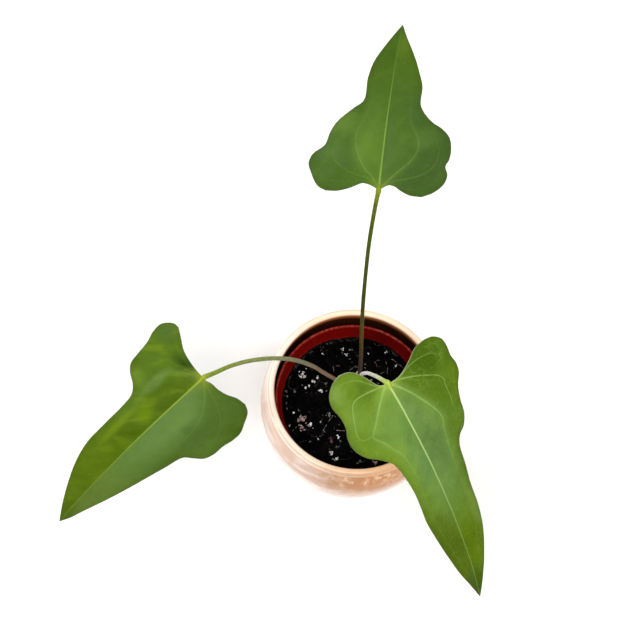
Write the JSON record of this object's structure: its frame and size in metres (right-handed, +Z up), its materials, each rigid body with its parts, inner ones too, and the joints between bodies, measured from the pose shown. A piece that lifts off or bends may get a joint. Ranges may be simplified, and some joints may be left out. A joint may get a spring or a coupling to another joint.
{
  "type": "potted arrow-leaved anthurium",
  "caption": "Young aroid house plant with arching stalks and wavy arrow-shaped leaves, in a plastic nursery pot that stands in a round glazed ceramic cachepot.",
  "frame": {"origin": "middle of the cachepot's flat underside, on the surface that it stands on", "axes": "+Z up along the cachepot's axis, +Y away from the viewer towards the back leaf, +X to the viewer's right"},
  "size_m": [0.2688, 0.36, 0.234],
  "materials": {
    "glaze": "gloss",
    "dark_red_plastic": "satin",
    "potting_mix": "matte",
    "stem": "matte",
    "bud": "satin",
    "stalk": "satin",
    "blade": "satin"
  },
  "bodies": {
    "root": {"cachepot": "glaze", "nursery_pot": "dark_red_plastic", "soil": "potting_mix", "stem_and_roots": "stem", "bud": "bud", "stalk_back": "stalk", "stalk_left": "stalk", "stalk_right": "stalk", "blade_back": "blade", "blade_left": "blade", "blade_right": "blade"}
  },
  "joints": []
}
